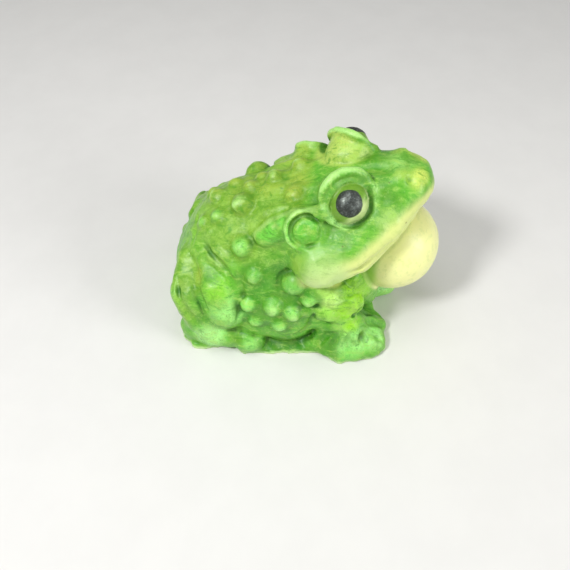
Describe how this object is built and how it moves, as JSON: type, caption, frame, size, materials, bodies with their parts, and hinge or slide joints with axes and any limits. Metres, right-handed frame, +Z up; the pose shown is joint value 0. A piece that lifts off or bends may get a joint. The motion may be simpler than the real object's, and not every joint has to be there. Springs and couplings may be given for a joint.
{
  "type": "toad figurine",
  "caption": "Squat warty toad ornament with an inflated throat sac, ringed bulging eyes and domed dark pupils, cast to sit on its own flat base.",
  "frame": {"origin": "centre of the object's box, on the flat base plane", "axes": "+Z up, -Y towards the nose, +X towards the toad's own left"},
  "size_m": [0.0284, 0.043, 0.0329],
  "materials": {
    "painted_casting": "satin translucent green wash over pale cream casting resin",
    "pupil_bead": "charcoal with a fine metallic fleck, semi-gloss"
  },
  "bodies": {
    "root": {"toad_body": "painted_casting", "pupil_right": "pupil_bead", "pupil_left": "pupil_bead"}
  },
  "joints": []
}
